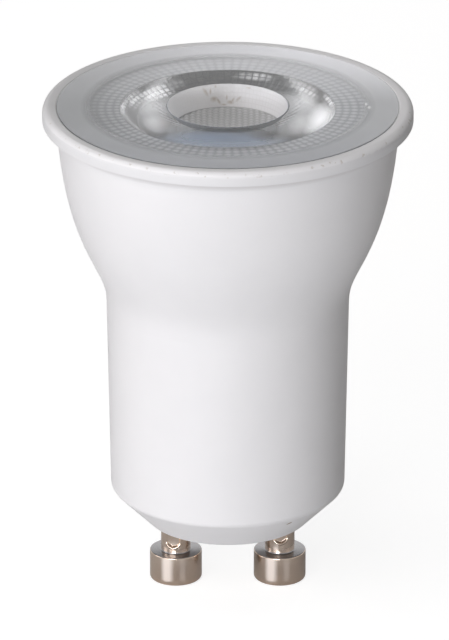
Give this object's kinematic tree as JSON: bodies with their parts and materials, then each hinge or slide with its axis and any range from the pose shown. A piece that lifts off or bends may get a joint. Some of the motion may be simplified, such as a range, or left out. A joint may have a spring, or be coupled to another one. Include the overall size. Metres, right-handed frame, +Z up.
{
  "type": "gu10 spotlight bulb",
  "caption": "Small LED reflector lamp on a two-pin twist base: white moulded shell with a neck and rim flange, clear optic with a central well, headed contact pins.",
  "frame": {"origin": "on the lamp's axis, in the plane of the contact pins' ends, on which the lamp stands", "axes": "+Z up along the lamp's axis towards the lens, contact pins on the X axis"},
  "size_m": [0.035, 0.035, 0.0487],
  "materials": {
    "shell_plastic": "satin white moulding",
    "lens_clear": "clear moulded optic",
    "pin_nickel": "satin nickel plate",
    "sink_aluminium": "drawn aluminium",
    "round_board": "white solder mask",
    "source_ceramic": "matt white ceramic",
    "phosphor": "yellow silicone",
    "screw_steel": "zinc plate",
    "driver_board": "green solder mask",
    "capacitor_sleeve": "shrunk sleeve",
    "film_case": "dipped coating",
    "ferrite": "ground ferrite",
    "copper_wire": "enamelled copper",
    "resistor_coat": "lacquer",
    "chip_black": "moulded epoxy",
    "chip_ceramic": "fired ceramic",
    "wire_brown": "insulation",
    "wire_blue": "insulation",
    "wire_red": "insulation",
    "wire_black": "insulation"
  },
  "bodies": {
    "root": {"housing": "shell_plastic", "lens": "lens_clear", "contact_pin_left": "pin_nickel", "contact_pin_right": "pin_nickel", "heat_sink": "sink_aluminium", "led_board": "round_board", "led_package": "source_ceramic", "led_phosphor": "phosphor", "board_screws": "screw_steel", "driver_board": "driver_board", "bulk_capacitor": "capacitor_sleeve", "film_capacitor": "film_case", "choke_core": "ferrite", "choke_winding": "copper_wire", "fuse_resistor": "resistor_coat", "bridge_rectifier": "chip_black", "flyback_diode": "chip_black", "driver_chip": "chip_black", "chip_resistors": "chip_black", "chip_capacitors": "chip_ceramic", "live_wire": "wire_brown", "neutral_wire": "wire_blue", "led_wire_plus": "wire_red", "led_wire_minus": "wire_black"}
  },
  "joints": []
}
